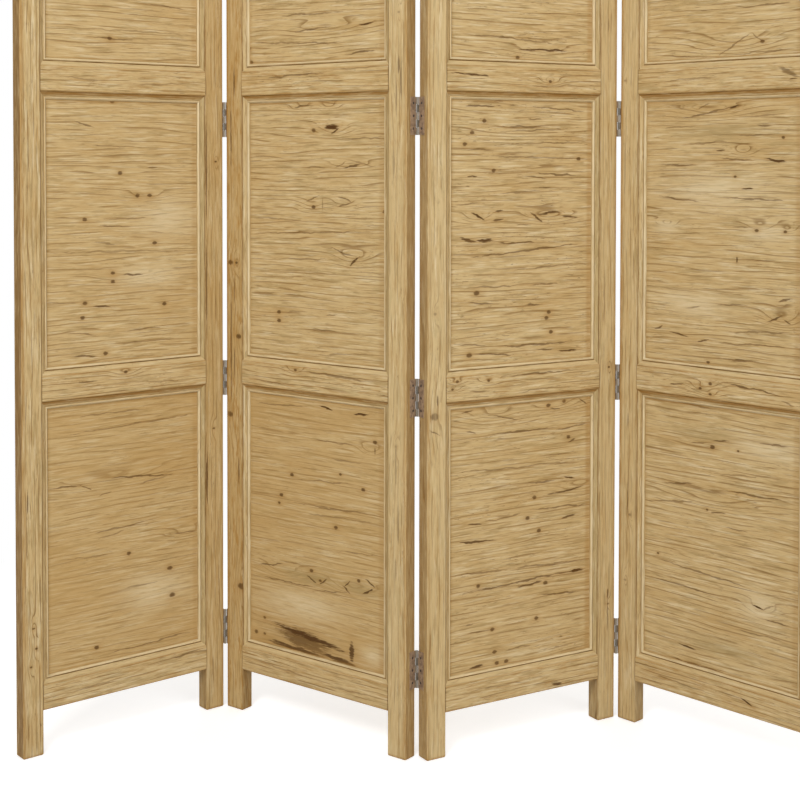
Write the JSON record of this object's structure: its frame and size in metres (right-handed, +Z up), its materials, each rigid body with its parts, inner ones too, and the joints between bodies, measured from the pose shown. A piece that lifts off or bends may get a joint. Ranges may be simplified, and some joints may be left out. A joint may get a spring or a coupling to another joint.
{
  "type": "folding screen",
  "caption": "Free-standing wooden folding screen of framed, boarded panels that turn on butt hinges, with beaded fields and stiles that run down as feet.",
  "frame": {"origin": "on the floor, in the middle of the space that the screen takes up as it stands half folded", "axes": "+Z up; X along the screen, +X to the viewer's right in the picture; the fronts of the panels face -Y"},
  "size_m": [1.3488, 0.3748, 1.7],
  "materials": {
    "frame_wood": "waxed, worn",
    "board_wood": "waxed, worn",
    "bead_wood": "waxed, worn",
    "hinge_steel": "dull, aged",
    "screw_steel": "dull, aged"
  },
  "bodies": {
    "panel_1": {"panel_1_left_stile": "frame_wood", "panel_1_right_stile": "frame_wood", "panel_1_bottom_rail": "frame_wood", "panel_1_lower_rail": "frame_wood", "panel_1_upper_rail": "frame_wood", "panel_1_top_rail": "frame_wood", "panel_1_bottom_field": "board_wood", "panel_1_middle_field": "board_wood", "panel_1_top_field": "board_wood", "panel_1_front_beads": "bead_wood", "panel_1_back_beads": "bead_wood", "hinges_1_2_left_leaves": "hinge_steel", "hinges_1_2_left_screws": "screw_steel", "hinges_1_2_pins": "hinge_steel"},
    "panel_2": {"panel_2_left_stile": "frame_wood", "panel_2_right_stile": "frame_wood", "panel_2_bottom_rail": "frame_wood", "panel_2_lower_rail": "frame_wood", "panel_2_upper_rail": "frame_wood", "panel_2_top_rail": "frame_wood", "panel_2_bottom_field": "board_wood", "panel_2_middle_field": "board_wood", "panel_2_top_field": "board_wood", "panel_2_front_beads": "bead_wood", "panel_2_back_beads": "bead_wood", "hinges_1_2_right_leaves": "hinge_steel", "hinges_1_2_right_screws": "screw_steel", "hinges_2_3_left_leaves": "hinge_steel", "hinges_2_3_left_screws": "screw_steel", "hinges_2_3_pins": "hinge_steel"},
    "panel_3": {"panel_3_left_stile": "frame_wood", "panel_3_right_stile": "frame_wood", "panel_3_bottom_rail": "frame_wood", "panel_3_lower_rail": "frame_wood", "panel_3_upper_rail": "frame_wood", "panel_3_top_rail": "frame_wood", "panel_3_bottom_field": "board_wood", "panel_3_middle_field": "board_wood", "panel_3_top_field": "board_wood", "panel_3_front_beads": "bead_wood", "panel_3_back_beads": "bead_wood", "hinges_2_3_right_leaves": "hinge_steel", "hinges_2_3_right_screws": "screw_steel", "hinges_3_4_left_leaves": "hinge_steel", "hinges_3_4_left_screws": "screw_steel", "hinges_3_4_pins": "hinge_steel"},
    "panel_4": {"panel_4_left_stile": "frame_wood", "panel_4_right_stile": "frame_wood", "panel_4_bottom_rail": "frame_wood", "panel_4_lower_rail": "frame_wood", "panel_4_upper_rail": "frame_wood", "panel_4_top_rail": "frame_wood", "panel_4_bottom_field": "board_wood", "panel_4_middle_field": "board_wood", "panel_4_top_field": "board_wood", "panel_4_front_beads": "bead_wood", "panel_4_back_beads": "bead_wood", "hinges_3_4_right_leaves": "hinge_steel", "hinges_3_4_right_screws": "screw_steel"}
  },
  "joints": [
    {"name": "hinge_1_2", "type": "hinge", "parent": "panel_1", "child": "panel_2", "pos_m": [-0.33534, 0.16661, 0], "axis": [0, 0, 1], "range_deg": [-103.7, 76.3]},
    {"name": "hinge_2_3", "type": "hinge", "parent": "panel_2", "child": "panel_3", "pos_m": [0.00565, -0.06372, 0], "axis": [0, 0, 1], "range_deg": [-67.9, 112.1]},
    {"name": "hinge_3_4", "type": "hinge", "parent": "panel_3", "child": "panel_4", "pos_m": [0.37817, 0.11108, 0], "axis": [0, 0, 1], "range_deg": [-103, 77]}
  ]
}
